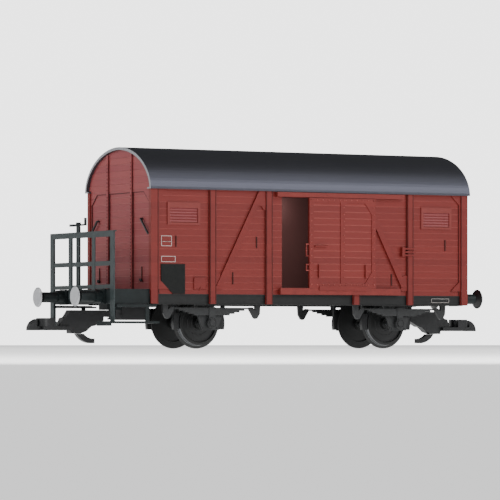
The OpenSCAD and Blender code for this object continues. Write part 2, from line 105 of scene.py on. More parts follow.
def add(tree, kind, sockets=None, **settings):
    """Adds one node. sockets maps an input's name or number to a value or an output."""
    node = tree.nodes.new(kind)
    for name, value in settings.items():
        setattr(node, name, value)
    for key, value in (sockets or {}).items():
        if isinstance(value, bpy.types.NodeSocket):
            tree.links.new(value, node.inputs[key])
        else:
            node.inputs[key].default_value = value
    return node


def at(x, y, z):
    """A point given in millimetres from the middle of the body, in the frame's metres."""
    return Vector(((x + body_x) * MM, y * MM, z * MM))


# ---------------------------------------------------------------------------
# Materials
# ---------------------------------------------------------------------------


def blank_material(name):
    """A new material with only its shader and output; returns material, tree and shader."""
    material = bpy.data.materials.new(name)
    material.use_nodes = True
    tree = material.node_tree
    tree.nodes.clear()
    shader = add(tree, "ShaderNodeBsdfPrincipled")
    add(tree, "ShaderNodeOutputMaterial", {"Surface": shader.outputs["BSDF"]})
    return material, tree, shader


def reach_from(tree, coordinate, middle):
    """How far a coordinate lies from a middle given in millimetres, on either side."""
    offset = add(tree, "ShaderNodeMath", {0: coordinate, 1: middle * MM}, operation="SUBTRACT")
    size = add(tree, "ShaderNodeMath", {0: offset.outputs[0]}, operation="ABSOLUTE")
    return size.outputs[0]


def moulded(name, dark, light, roughness, mottle_mm, grit_mm, grit_depth, sheen=0.5):
    """Moulded plastic: a faint mottle in its colour and a fine grit in its surface."""
    material, tree, shader = blank_material(name)
    place = add(tree, "ShaderNodeTexCoord").outputs["Object"]
    mottle = add(
        tree,
        "ShaderNodeTexNoise",
        {"Vector": place, "Scale": 1 / (mottle_mm * MM), "Detail": 3.0, "Roughness": 0.6},
    )
    spread = add(
        tree,
        "ShaderNodeMapRange",
        {"Value": mottle.outputs["Fac"], "From Min": 0.3, "From Max": 0.7},
    )
    colour = add(
        tree,
        "ShaderNodeMix",
        {FACTOR: spread.outputs["Result"], FIRST: linear(dark), SECOND: linear(light)},
        data_type="RGBA",
    ).outputs[MIXED]
    tree.links.new(colour, shader.inputs["Base Color"])
    grit = add(
        tree,
        "ShaderNodeTexNoise",
        {"Vector": place, "Scale": 1 / (grit_mm * MM), "Detail": 2.0},
    )
    gloss = add(
        tree,
        "ShaderNodeMapRange",
        {
            "Value": grit.outputs["Fac"],
            "From Min": 0.3,
            "From Max": 0.7,
            "To Min": roughness - 0.05,
            "To Max": roughness + 0.05,
        },
    )
    tree.links.new(gloss.outputs["Result"], shader.inputs["Roughness"])
    bump = add(
        tree,
        "ShaderNodeBump",
        {"Height": grit.outputs["Fac"], "Strength": 0.6, "Distance": grit_depth * MM},
    )
    tree.links.new(bump.outputs["Normal"], shader.inputs["Normal"])
    shader.inputs["Specular IOR Level"].default_value = sheen
    return material


def plank_material(name, dark, light, line, highlight_line_strength, axis, middle, reach):
    """Moulded planks: each board has its own tone, a fine grain along it and a
    pale line along its edge, a painted highlight where the board's lip would
    catch the light. The boards lie in the two planes that are square to the
    axis and stand at the given reach from its middle. Inner faces are browner."""
    material, tree, shader = blank_material(name)
    place = add(tree, "ShaderNodeTexCoord").outputs["Object"]
    axes = add(tree, "ShaderNodeSeparateXYZ", {"Vector": place})
    out = reach_from(tree, axes.outputs[axis], middle)
    boarded = add(
        tree,
        "ShaderNodeMath",
        {0: out, 1: reach * MM, 2: groove_deep * MM},
        operation="COMPARE",
    )
    above = add(
        tree,
        "ShaderNodeMath",
        {0: axes.outputs["Z"], 1: (deck_top - groove_half) * MM},
        operation="SUBTRACT",
    )
    boards = add(
        tree,
        "ShaderNodeMath",
        {0: above.outputs[0], 1: board_pitch * MM},
        operation="DIVIDE",
    )
    number = add(tree, "ShaderNodeMath", {0: boards.outputs[0]}, operation="FLOOR")
    tone = add(
        tree,
        "ShaderNodeTexWhiteNoise",
        {"W": number.outputs[0]},
        noise_dimensions="1D",
    )
    # Grain 30 mm long and 1.2 mm wide, the finest that still shows.
    stretched = add(
        tree,
        "ShaderNodeMapping",
        {"Vector": place, "Scale": (33.0, 33.0, 830.0)},
    )
    grain = add(
        tree,
        "ShaderNodeTexNoise",
        {"Vector": stretched.outputs["Vector"], "Scale": 1.0, "Detail": 4.0, "Roughness": 0.6},
    )
    mottle = add(
        tree,
        "ShaderNodeTexNoise",
        {"Vector": place, "Scale": 28.0, "Detail": 3.0},
    )
    soft = add(
        tree,
        "ShaderNodeMath",
        {0: tone.outputs["Value"], 1: 0.3, 2: 0.0},
        operation="MULTIPLY_ADD",
    )
    with_grain = add(
        tree,
        "ShaderNodeMath",
        {0: grain.outputs["Fac"], 1: 0.5, 2: soft.outputs[0]},
        operation="MULTIPLY_ADD",
    )
    whole = add(
        tree,
        "ShaderNodeMath",
        {0: mottle.outputs["Fac"], 1: 0.4, 2: with_grain.outputs[0]},
        operation="MULTIPLY_ADD",
    )
    spread = add(
        tree,
        "ShaderNodeMapRange",
        {"Value": whole.outputs[0], "From Min": 0.35, "From Max": 0.85},
    )
    boards_colour = add(
        tree,
        "ShaderNodeMix",
        {FACTOR: spread.outputs["Result"], FIRST: linear(dark), SECOND: linear(light)},
        data_type="RGBA",
    ).outputs[MIXED]
    # The pale line is a painted highlight: it takes in the joint itself and 0.3 mm of the board
    # above it.
    within = add(tree, "ShaderNodeMath", {0: boards.outputs[0]}, operation="FRACT")
    edge = add(
        tree,
        "ShaderNodeMapRange",
        {
            "Value": within.outputs[0],
            "From Min": 0.10,
            "From Max": 0.15,
            "To Min": highlight_line_strength,
            "To Max": 0.0,
        },
    )
    strength = add(
        tree,
        "ShaderNodeMath",
        {0: edge.outputs["Result"], 1: boarded.outputs[0]},
        operation="MULTIPLY",
    )
    # Mixes the pale painted highlight along each board edge over the boards.
    with_highlight_lines = add(
        tree,
        "ShaderNodeMix",
        {FACTOR: strength.outputs[0], FIRST: boards_colour, SECOND: linear(line)},
        data_type="RGBA",
    )
    # Inner faces are coloured a duller brown.
    aside = add(tree, "ShaderNodeMath", {0: axes.outputs["Y"]}, operation="ABSOLUTE")
    inner_side = add(
        tree, "ShaderNodeMath", {0: aside.outputs[0], 1: inside_y * MM}, operation="LESS_THAN"
    )
    along = reach_from(tree, axes.outputs["X"], body_x)
    inner_end = add(
        tree, "ShaderNodeMath", {0: along, 1: inside_x * MM}, operation="LESS_THAN"
    )
    inside = add(
        tree,
        "ShaderNodeMath",
        {0: inner_side.outputs[0], 1: inner_end.outputs[0]},
        operation="MULTIPLY",
    )
    dressed = add(
        tree,
        "ShaderNodeMix",
        {FACTOR: inside.outputs[0], FIRST: with_highlight_lines.outputs[MIXED], SECOND: linear("#6b4542")},
        data_type="RGBA",
    )
    tree.links.new(dressed.outputs[MIXED], shader.inputs["Base Color"])
    bump = add(
        tree,
        "ShaderNodeBump",
        {"Height": grain.outputs["Fac"], "Strength": 0.5, "Distance": 0.05 * MM},
    )
    tree.links.new(bump.outputs["Normal"], shader.inputs["Normal"])
    shader.inputs["Roughness"].default_value = 0.5
    shader.inputs["Specular IOR Level"].default_value = 0.4
    return material


def vent_material(name):
    """Vents: red frames round paler pink louvres, a painted highlight for the light on the slats;
    the two are told apart by how far out they stand.
    """
    material, tree, shader = blank_material(name)
    place = add(tree, "ShaderNodeTexCoord").outputs["Object"]
    axes = add(tree, "ShaderNodeSeparateXYZ", {"Vector": place})
    out = add(tree, "ShaderNodeMath", {0: axes.outputs["Y"]}, operation="ABSOLUTE")
    slat = add(
        tree,
        "ShaderNodeMath",
        {0: out.outputs[0], 1: (board_y + 0.3) * MM},
        operation="LESS_THAN",
    )
    mottle = add(
        tree,
        "ShaderNodeTexNoise",
        {"Vector": place, "Scale": 1 / (4 * MM), "Detail": 3.0},
    )
    frame_red = add(
        tree,
        "ShaderNodeMix",
        {FACTOR: mottle.outputs["Fac"], FIRST: linear("#73221c"), SECOND: linear("#822c25")},
        data_type="RGBA",
    ).outputs[MIXED]
    # The louvres' paler pink is painted highlight.
    slat_painted_highlight_pink = add(
        tree,
        "ShaderNodeMix",
        {FACTOR: mottle.outputs["Fac"], FIRST: linear("#8d4345"), SECOND: linear("#a05254")},
        data_type="RGBA",
    ).outputs[MIXED]
    final = add(
        tree,
        "ShaderNodeMix",
        {FACTOR: slat.outputs[0], FIRST: frame_red, SECOND: slat_painted_highlight_pink},
        data_type="RGBA",
    )
    tree.links.new(final.outputs[MIXED], shader.inputs["Base Color"])
    shader.inputs["Roughness"].default_value = 0.45
    return material


def roof_material(name):
    """Roof: satin dark grey plastic with a fine grit; the cut ends are pale grey, partly the raw
    edge and partly a painted highlight.
    """
    material, tree, shader = blank_material(name)
    place = add(tree, "ShaderNodeTexCoord").outputs["Object"]
    axes = add(tree, "ShaderNodeSeparateXYZ", {"Vector": place})
    reach = reach_from(tree, axes.outputs["X"], body_x)
    rim = add(
        tree,
        "ShaderNodeMath",
        {0: reach, 1: roof_rim_x * MM},
        operation="GREATER_THAN",
    )
    mottle = add(
        tree,
        "ShaderNodeTexNoise",
        {"Vector": place, "Scale": 22.0, "Detail": 3.0},
    )
    sheet = add(
        tree,
        "ShaderNodeMix",
        {FACTOR: mottle.outputs["Fac"], FIRST: linear("#2a2a2b"), SECOND: linear("#333335")},
        data_type="RGBA",
    ).outputs[MIXED]
    # The pale grey on the cut ends is partly the raw edge and partly painted highlight.
    final = add(
        tree,
        "ShaderNodeMix",
        {FACTOR: rim.outputs[0], FIRST: sheet, SECOND: linear("#8e9092")},
        data_type="RGBA",
    )
    tree.links.new(final.outputs[MIXED], shader.inputs["Base Color"])
    grit = add(
        tree,
        "ShaderNodeTexNoise",
        {"Vector": place, "Scale": 1 / (0.9 * MM), "Detail": 2.0},
    )
    bump = add(
        tree,
        "ShaderNodeBump",
        {"Height": grit.outputs["Fac"], "Strength": 0.35, "Distance": 0.04 * MM},
    )
    tree.links.new(bump.outputs["Normal"], shader.inputs["Normal"])
    shader.inputs["Roughness"].default_value = 0.38
    shader.inputs["Specular IOR Level"].default_value = 1.0
    shader.inputs["Specular Tint"].default_value = linear("#dfe2ff")
    return material


def wheel_material(name):
    """Wheels: black plastic centres in a turned steel tyre, told apart by their
    distance from the axle."""
    material, tree, shader = blank_material(name)
    place = add(tree, "ShaderNodeTexCoord").outputs["Object"]
    axes = add(tree, "ShaderNodeSeparateXYZ", {"Vector": place})
    reach = reach_from(tree, axes.outputs["X"], body_x)
    across = add(
        tree, "ShaderNodeMath", {0: reach, 1: axle_reach * MM}, operation="SUBTRACT"
    )
    above = add(
        tree, "ShaderNodeMath", {0: axes.outputs["Z"], 1: axle_z * MM}, operation="SUBTRACT"
    )
    arm = add(
        tree, "ShaderNodeCombineXYZ", {"X": across.outputs[0], "Y": above.outputs[0]}
    )
    radius = add(
        tree, "ShaderNodeVectorMath", {0: arm.outputs[0]}, operation="LENGTH"
    )
    outer = add(
        tree,
        "ShaderNodeMapRange",
        {
            "Value": radius.outputs["Value"],
            "From Min": (tread_r - 0.12) * MM,
            "From Max": (tread_r - 0.06) * MM,
        },
    )
    aside = add(tree, "ShaderNodeMath", {0: axes.outputs["Y"]}, operation="ABSOLUTE")
    past_flange = add(
        tree, "ShaderNodeMath", {0: aside.outputs[0], 1: tread_y * MM}, operation="GREATER_THAN"
    )
    tyre = add(
        tree,
        "ShaderNodeMath",
        {0: outer.outputs["Result"], 1: past_flange.outputs[0]},
        operation="MULTIPLY",
    )
    # Turning marks 0.5 mm apart.
    marks = add(
        tree,
        "ShaderNodeTexNoise",
        {"W": radius.outputs["Value"], "Scale": 2000.0, "Detail": 1.0},
        noise_dimensions="1D",
    )
    colour = add(
        tree,
        "ShaderNodeMix",
        {FACTOR: tyre.outputs[0], FIRST: linear("#141515"), SECOND: linear("#808284")},
        data_type="RGBA",
    ).outputs[MIXED]
    tree.links.new(colour, shader.inputs["Base Color"])
    tree.links.new(tyre.outputs[0], shader.inputs["Metallic"])
    gloss = add(
        tree,
        "ShaderNodeMapRange",
        {"Value": marks.outputs["Fac"], "To Min": 0.3, "To Max": 0.5},
    )
    tree.links.new(gloss.outputs["Result"], shader.inputs["Roughness"])
    return material


def buffer_material(name):
    """Buffers: a plated face on a blackened back and stem, told apart by how far
    out they stand."""
    material, tree, shader = blank_material(name)
    place = add(tree, "ShaderNodeTexCoord").outputs["Object"]
    axes = add(tree, "ShaderNodeSeparateXYZ", {"Vector": place})
    reach = reach_from(tree, axes.outputs["X"], body_x - buffers_shift)
    face = add(
        tree, "ShaderNodeMath", {0: reach, 1: buffer_back_x * MM}, operation="GREATER_THAN"
    )
    cloud = add(
        tree,
        "ShaderNodeTexNoise",
        {"Vector": place, "Scale": 1 / (2.5 * MM), "Detail": 3.0},
    )
    plated = add(
        tree,
        "ShaderNodeMix",
        {FACTOR: cloud.outputs["Fac"], FIRST: linear("#acadb0"), SECOND: linear("#c6c7ca")},
        data_type="RGBA",
    ).outputs[MIXED]
    final = add(
        tree,
        "ShaderNodeMix",
        {FACTOR: face.outputs[0], FIRST: linear("#1c1d1e"), SECOND: plated},
        data_type="RGBA",
    )
    tree.links.new(final.outputs[MIXED], shader.inputs["Base Color"])
    half_metal = add(
        tree, "ShaderNodeMath", {0: face.outputs[0], 1: 0.55}, operation="MULTIPLY"
    )
    tree.links.new(half_metal.outputs[0], shader.inputs["Metallic"])
    shader.inputs["Roughness"].default_value = 0.42
    return material


def steel(name, dark, light, roughness):
    """Bright metal: cloudy in tone, with a fine brushed roughness."""
    material, tree, shader = blank_material(name)
    place = add(tree, "ShaderNodeTexCoord").outputs["Object"]
    cloud = add(
        tree,
        "ShaderNodeTexNoise",
        {"Vector": place, "Scale": 1 / (3 * MM), "Detail": 3.0},
    )
    colour = add(
        tree,
        "ShaderNodeMix",
        {FACTOR: cloud.outputs["Fac"], FIRST: linear(dark), SECOND: linear(light)},
        data_type="RGBA",
    ).outputs[MIXED]
    tree.links.new(colour, shader.inputs["Base Color"])
    gloss = add(
        tree,
        "ShaderNodeMapRange",
        {
            "Value": cloud.outputs["Fac"],
            "To Min": roughness - 0.06,
            "To Max": roughness + 0.06,
        },
    )
    tree.links.new(gloss.outputs["Result"], shader.inputs["Roughness"])
    shader.inputs["Metallic"].default_value = 1.0
    return material


# Oxide-red ABS planks: matt, with a faint grain; board edges carry thin pale lines of painted
# highlight.
side_planks = plank_material(
    "oxide_red_abs_planks", "#6d1b16", "#7b241d", "#b95d55", 0.38, "Y", 0, board_y
)
# The doors are the same plastic, with crisper board edges: stronger pale lines of painted
# highlight.
door_planks = plank_material(
    "oxide_red_abs_door_planks", "#701e19", "#7f2821", "#c0655d", 0.5, "Y", 0, door_face
)
# The same red on the ends, painted lighter and greyer than the sides as painted light where the
# lamps fall flat on them; the pale board-edge lines are painted highlight.
end_planks_painted_lit = plank_material(
    "oxide_red_abs_end_planks_painted_lit", "#833438", "#90403f", "#b8716e", 0.38, "X", body_x, end_boards
)
# Red on trim that isn't boarded: rivets, ribs and bars.
red_trim = moulded("oxide_red_abs_trim", "#73221c", "#822c25", 0.5, 4.0, 0.8, 0.03, 0.4)
# Rivet heads: the same red painted paler as a painted highlight on their tops, so they show as
# light dots.
rivet_red_painted_highlight = moulded("red_abs_rivets_painted_highlight", "#8f3c34", "#a14d44", 0.4, 4.0, 0.8, 0.01)
# Vents: the wall's red, with paler pink louvres painted as a highlight that lifts them off the
# wall.
vent_red = vent_material("red_abs_vents_painted_highlight_louvres")
# Painted shade: dark brown along the seams and beside ribs, drawing their edges as shadow would.
painted_shade_brown = moulded("dark_brown_painted_shade_lines", "#351310", "#451a17", 0.6, 3.0, 0.8, 0.01, 0.3)
# Satin anthracite roof: dark on top, with a wide soft sheen low on its sides.
roof_grey = roof_material("anthracite_abs_roof")
# Chassis plastic: black and slightly glossy, so edges catch the light.
chassis_black = moulded("black_pom_chassis", "#121314", "#1b1c1e", 0.42, 5.0, 0.8, 0.04)
# Solebars: the same black with a little more grey in it.
solebar_black = moulded("black_abs_solebar", "#121313", "#191a1a", 0.5, 9.0, 0.9, 0.03, 0.35)
# Guards, springs and boxes: the chassis black, a shade paler than the wheels.
guard_black = moulded("paler_black_pom_guards", "#1a1b1c", "#262829", 0.5, 4.0, 0.8, 0.04)
# Platform ironwork: blue-black with a green cast where light falls on it.
platform_black = moulded("blue_black_abs_platform", "#0d1516", "#172021", 0.5, 6.0, 0.9, 0.04, 0.3)
# Railing: the same ironwork, painted a shade greyer all over as painted light for the light on its
# faces.
railing_painted_lighter = moulded("black_abs_railing_painted_lighter", "#1d2728", "#2b3637", 0.42, 5.0, 0.9, 0.04)
# Writing board: flat matt black paint.
board_black = moulded("matt_black_paint_board", "#0f1110", "#161817", 0.75, 3.0, 0.7, 0.02, 0.3)
# Printed outlines: matt white ink.
white_ink = moulded("white_pad_print", "#cfc6c2", "#e2dad6", 0.6, 1.5, 0.6, 0.01)
wheel_finish = wheel_material("black_centre_steel_tyre")
axle_steel = steel("turned_steel_axle", "#7f8486", "#9a9ea0", 0.38)
# Buffer faces: plated and slightly cloudy.
buffer_steel = buffer_material("plated_face_black_back_buffer")

NODE_FINISH = {
    "floor": chassis_black,
    "left_solebar": solebar_black,
    "right_solebar": solebar_black,
    "front_headstock": platform_black,
    "rear_headstock": chassis_black,
    "left_wall_front": side_planks,
    "left_wall_rear": side_planks,
    "right_wall_front": side_planks,
    "right_wall_rear": side_planks,
    "front_wall": end_planks_painted_lit,
    "rear_wall": end_planks_painted_lit,
    "roof": roof_grey,
    "left_door": door_planks,
    "right_door": door_planks,
    "left_door_rails": red_trim,
    "right_door_rails": red_trim,
    "vents": vent_red,
    "chalk_boards": board_black,
    "front_axle_guards": guard_black,
    "rear_axle_guards": guard_black,
    "front_axle_boxes": guard_black,
    "rear_axle_boxes": guard_black,
    "front_springs": guard_black,
    "rear_springs": guard_black,
    "front_axle": axle_steel,
    "rear_axle": axle_steel,
    "front_wheels": wheel_finish,
    "rear_wheels": wheel_finish,
    "buffer_barrels": platform_black,
    "buffer_heads": buffer_steel,
    "platform_deck": platform_black,
    "platform_sills": platform_black,
    "platform_railing": railing_painted_lighter,
    "platform_steps": platform_black,
    "brake_column": platform_black,
    "brake_crank": platform_black,
}

for name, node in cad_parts.items():
    finish = NODE_FINISH.get(name, chassis_black)
    node.data.materials.clear()
    node.data.materials.append(finish)

# ---------------------------------------------------------------------------
# Geometry Nodes trees
# ---------------------------------------------------------------------------


def start_tree(name, sizes):
    """A new tree with a wire coming in, a mesh going out, and one named input for each size."""
    tree = bpy.data.node_groups.new(name, "GeometryNodeTree")
    tree.interface.new_socket("Wire", in_out="INPUT", socket_type="NodeSocketGeometry")
    for label, kind in sizes:
        tree.interface.new_socket(label, in_out="INPUT", socket_type="NodeSocket" + kind)
    tree.interface.new_socket("Material", in_out="INPUT", socket_type="NodeSocketMaterial")
    tree.interface.new_socket("Mesh", in_out="OUTPUT", socket_type="NodeSocketGeometry")
    return tree, tree.nodes.new("NodeGroupInput").outputs


def end_tree(tree, geometry, material, smooth):
    """Realizes what the tree made, sets its shading and its material, and puts it out."""
    real = add(tree, "GeometryNodeRealizeInstances", {"Geometry": geometry})
    shade = add(
        tree,
        "GeometryNodeSetShadeSmooth",
        {"Geometry": real.outputs[0], "Shade Smooth": smooth},
    )
    dressed = add(
        tree,
        "GeometryNodeSetMaterial",
        {"Geometry": shade.outputs[0], "Material": material},
    )
    add(tree, "NodeGroupOutput", {0: dressed.outputs[0]})
    return tree


def rivet_tree():
    """Domed rivets, evenly spaced along each wire."""
    tree, given = start_tree(
        "rivet_rows",
        [("Spacing", "Float"), ("Radius", "Float"), ("Height", "Float"), ("Facing", "Vector")],
    )
    line = add(tree, "GeometryNodeMeshToCurve", {"Mesh": given["Wire"]})
    spaced = add(
        tree,
        "GeometryNodeResampleCurve",
        {"Curve": line.outputs[0], "Length": given["Spacing"]},
        mode="LENGTH",
    )
    dome = add(tree, "GeometryNodeMeshUVSphere", {"Segments": 8, "Rings": 6, "Radius": 1.0})
    size = add(
        tree,
        "ShaderNodeCombineXYZ",
        {"X": given["Radius"], "Y": given["Radius"], "Z": given["Height"]},
    )
    turn = add(
        tree, "FunctionNodeAlignRotationToVector", {"Vector": given["Facing"]}, axis="Z"
    )
    heads = add(
        tree,
        "GeometryNodeInstanceOnPoints",
        {
            "Points": spaced.outputs[0],
            "Instance": dome.outputs["Mesh"],
            "Rotation": turn.outputs[0],
            "Scale": size.outputs[0],
        },
    )
    return end_tree(tree, heads.outputs[0], given["Material"], True)


def bolt_tree():
    """Six-sided bolt heads, one at each point."""
    tree, given = start_tree(
        "bolt_heads", [("Radius", "Float"), ("Height", "Float"), ("Facing", "Vector")]
    )
    head = add(
        tree,
        "GeometryNodeMeshCylinder",
        {"Vertices": 6, "Radius": given["Radius"], "Depth": given["Height"]},
    )
    turn = add(
        tree, "FunctionNodeAlignRotationToVector", {"Vector": given["Facing"]}, axis="Z"
    )
    heads = add(
        tree,
        "GeometryNodeInstanceOnPoints",
        {
            "Points": given["Wire"],
            "Instance": head.outputs["Mesh"],
            "Rotation": turn.outputs[0],
        },
    )
    return end_tree(tree, heads.outputs[0], given["Material"], False)


def bar_tree():
    """Round bars that follow each wire, with rounded bends."""
    tree, given = start_tree("bent_bars", [("Radius", "Float"), ("Bend", "Float")])
    line = add(tree, "GeometryNodeMeshToCurve", {"Mesh": given["Wire"]})
    bent = add(
        tree,
        "GeometryNodeFilletCurve",
        {"Curve": line.outputs[0], "Radius": given["Bend"], "Count": 4},
        mode="POLY",
    )
    profile = add(
        tree,
        "GeometryNodeCurvePrimitiveCircle",
        {"Resolution": 10, "Radius": given["Radius"]},
    )
    bar = add(
        tree,
        "GeometryNodeCurveToMesh",
        {"Curve": bent.outputs[0], "Profile Curve": profile.outputs[0], "Fill Caps": True},
    )
    return end_tree(tree, bar.outputs[0], given["Material"], True)


def ring_tree():
    """Round rings, one at each point, square to the given direction."""
    tree, given = start_tree(
        "raised_rings", [("Ring Radius", "Float"), ("Wire Radius", "Float"), ("Facing", "Vector")]
    )
    circle = add(
        tree,
        "GeometryNodeCurvePrimitiveCircle",
        {"Resolution": 64, "Radius": given["Ring Radius"]},
    )
    profile = add(
        tree,
        "GeometryNodeCurvePrimitiveCircle",
        {"Resolution": 8, "Radius": given["Wire Radius"]},
    )
    ring = add(
        tree,
        "GeometryNodeCurveToMesh",
        {"Curve": circle.outputs[0], "Profile Curve": profile.outputs[0]},
    )
    turn = add(
        tree, "FunctionNodeAlignRotationToVector", {"Vector": given["Facing"]}, axis="Z"
    )
    rings = add(
        tree,
        "GeometryNodeInstanceOnPoints",
        {"Points": given["Wire"], "Instance": ring.outputs[0], "Rotation": turn.outputs[0]},
    )
    return end_tree(tree, rings.outputs[0], given["Material"], True)


rivet_rows = rivet_tree()
bolt_heads = bolt_tree()
bent_bars = bar_tree()
raised_rings = ring_tree()

# What has been made so far for each piece: its meshes, body, material and slot.
pieces = {}


def make(piece, body, material, slot, tree, paths, **sizes):
    """Runs a tree along the given paths and keeps its mesh as part of a piece.
    A path that ends where it starts is a closed one."""
    points = []
    edges = []
    for path in paths:
        first = len(points)
        closed = len(path) > 2 and path[0] == path[-1]
        used = path[:-1] if closed else path
        points += [at(*p) for p in used]
        edges += [(first + i, first + i + 1) for i in range(len(used) - 1)]
        if closed:
            edges.append((first + len(used) - 1, first))
    wire = bpy.data.meshes.new("wire")
    wire.from_pydata(points, edges, [])
    holder = bpy.data.objects.new("wire", wire)
    bpy.context.scene.collection.objects.link(holder)
    shape = holder.modifiers.new("shape", "NODES")
    shape.node_group = tree
    sockets = {
        item.name: item.identifier
        for item in tree.interface.items_tree
        if item.in_out == "INPUT"
    }
    shape[sockets["Material"]] = material
    for label, value in sizes.items():
        shape[sockets[label.replace("_", " ")]] = value
    bpy.context.view_layer.update()
    depsgraph = bpy.context.evaluated_depsgraph_get()
    mesh = bpy.data.meshes.new_from_object(holder.evaluated_get(depsgraph))
    holder.modifiers.remove(shape)
    bpy.data.objects.remove(holder)
    entry = pieces.setdefault(piece, (body, material, slot, []))
    entry[3].append(mesh)


def finish_pieces():
    """Joins each piece's meshes into one object that rides on its body."""
    for name, (body, material, slot, meshes) in pieces.items():
        whole = bmesh.new()
        for mesh in meshes:
            whole.from_mesh(mesh)
        final = bpy.data.meshes.new(name)
        whole.to_mesh(final)
        whole.free()
        final.materials.clear()
        final.materials.append(material)
        for face in final.polygons:
            face.material_index = 0
        piece = bpy.data.objects.new(name, final)
        bpy.context.scene.collection.objects.link(piece)
        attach(piece, body)


# ---------------------------------------------------------------------------
# Doors
# ---------------------------------------------------------------------------


def door_rivets(side, middle, body):
    """Rows of small rivets round a door's frame and down its middle strip."""
    left = -door_half + 2.1
    right = door_half - 2.1
    rows = []
    for x in (left, 1.1, right):
        rows.append([(x, door_bottom + 3.6), (x, door_top - 1.6)])
    for z in (door_bottom + 3.0, door_top - 1.6):
        rows.append([(left, z), (right, z)])
    paths = [[(side * (middle + x), -side * door_strip, z) for x, z in row] for row in rows]
    make(
        body + "_rivets",
        body,
        rivet_red_painted_highlight,
        "planks",
        rivet_rows,
        paths,
        Spacing=board_pitch * MM,
        Radius=0.65 * MM,
        Height=0.5 * MM,
        Facing=(0, -side, 0),
    )


door_rivets(1, left_door_x, "left_door")
door_rivets(-1, right_door_x, "right_door")

# ---------------------------------------------------------------------------
# Side walls
# ---------------------------------------------------------------------------

# Upright ribs that hold a card, as (x, lowest z, highest z); they are drawn dark brown as painted
# shade.
CARD_RIBS = [
    (-133.4, 86.0, 95.5),
    (-55.2, 86.0, 95.5),
    (135.4, 86.0, 95.5),
    (-78.5, 55.0, 65.0),
    (80.0, 55.0, 65.0),
]

for side in (1, -1):
    ribs = [
        [(side * x, -side * (board_y + 0.25), z0), (side * x, -side * (board_y + 0.25), z1)]
        for x, z0, z1 in CARD_RIBS
    ]
    make(
        "card_ribs",
        "wagon_body",
        painted_shade_brown,
        "planks",
        bent_bars,
        ribs,
        Radius=0.6 * MM,
        Bend=0.0,
    )


# Painted shade: dark lines where the posts and corner strips meet the boards.
for side in (1, -1):
    joints = []
    for middle, half in ((door_post_x, door_post_half), (end_side_post_x, end_side_post_half)):
        for hand in (-1, 1):
            joints += [hand * (middle - half), hand * (middle + half)]
    joints += [-corner_strip_x, corner_strip_x]
    corner_y = board_y + 0.15
    lines = [
        [(x, -side * corner_y, deck_top - 3.6), (x, -side * corner_y, eave_z - 0.3)]
        for x in joints
    ]
    # Painted shade also along the folded edges of the posts themselves, down to the foot of the
    # solebar.
    folds = [-corner_post_x, corner_post_x]
    for middle, half in ((door_post_x, door_post_half), (end_side_post_x, end_side_post_half)):
        for hand in (-1, 1):
            folds += [hand * (middle - half + 0.5), hand * (middle + half - 0.5)]
    lines += [
        [(x, -side * post_y, sole_foot), (x, -side * post_y, eave_z - 0.3)] for x in folds
    ]
    make(
        "post_painted_shade_lines",
        "wagon_body",
        painted_shade_brown,
        "planks",
        bent_bars,
        lines,
        Radius=0.3 * MM,
        Bend=0.0,
    )


def outline(side, x0, x1, z0, z1, y):
    """A closed rectangle on a side wall."""
    corners = [(x0, z0), (x1, z0), (x1, z1), (x0, z1), (x0, z0)]
    return [(side * x, -side * y, z) for x, z in corners]


# Printed outlines on the wall and the plate on the solebar, each as its two
# ends along the wagon and its two heights.
PRINTED_FRAMES = [
    (-147.2, -137.6, 86.8, 90.4),
    (-147.2, -137.6, 90.4, 95.2),
    (-147.2, -134.0, 73.4, 78.0),
]
SOLEBAR_PLATE = (121.5, 139.5, 40.4, 43.7)

for side in (1, -1):
    printed = [outline(side, *sizes, board_y) for sizes in PRINTED_FRAMES]
    make(
        "printed_outlines",
        "wagon_body",
        white_ink,
        "planks",
        bent_bars,
        printed,
        Radius=0.28 * MM,
        Bend=0.0,
    )
    plates = [outline(side, *SOLEBAR_PLATE, board_y)]
    make(
        "solebar_plate_outlines",
        "wagon_body",
        white_ink,
        "frame_black",
        bent_bars,
        plates,
        Radius=0.16 * MM,
        Bend=0.0,
    )
    # The placard clip low on the wall: a thin frame with a small foot.
    x0, x1, z0, z1 = -116.1, -104.6, deck_top + 0.3, deck_top + 10.0
    make(
        "placard_clips",
        "wagon_body",
        red_trim,
        "planks",
        bent_bars,
        [
            outline(side, x0, x1, z0, z1, board_y + 0.8),
            [
                (side * -110.4, -side * (board_y + 1.2), z0 - 0.6),
                (side * -110.4, -side * (board_y + 1.2), z0 + 1.6),
            ],
        ],
        Radius=0.35 * MM,
        Bend=0.0,
    )

# ---------------------------------------------------------------------------
# End walls
# ---------------------------------------------------------------------------

for end in (-1, 1):
    face = end * (end_boards + 0.5)
    edges = []
    for hand in (-1, 1):
        edges.append(
            [
                (face, hand * end_panel_y, deck_top + 0.3),
                (face, hand * end_panel_y, end_panel_z),
                (face, hand * end_belt_y, end_belt_z),
                (face, hand * (end_post_y + 1.6), end_belt_z),
            ]
        )
        for beside in (-1.7, 1.7):
            y = hand * end_post_y + beside
            edges.append([(face, y, deck_top + 0.3), (face, y, 160.5 - 1.3 * hand * beside)])
    edges.append([(face, 1.6 - end_post_y, end_belt_z), (face, end_post_y - 1.6, end_belt_z)])
    # Painted shade: dark lines along the end panel's raised edges and beside the end posts'
    # channels.
    make(
        "end_painted_shade_lines",
        "wagon_body",
        painted_shade_brown,
        "planks",
        bent_bars,
        edges,
        Radius=0.34 * MM,
        Bend=0.0,
    )
    # Rivets on the end posts, in the dark brown painted-shade colour.
    make(
        "end_post_rivets",
        "wagon_body",
        painted_shade_brown,
        "planks",
        rivet_rows,
        [
            [(end * half_length, hand * end_post_y, z0), (end * half_length, hand * end_post_y, z1)]
            for hand in (-1, 1)
            for z0, z1 in ((deck_top + 3.0, 130.0), (136.0, 158.0))
        ],
        Spacing=board_pitch / 2 * MM,
        Radius=0.7 * MM,
        Height=0.4 * MM,
        Facing=(end, 0, 0),
    )

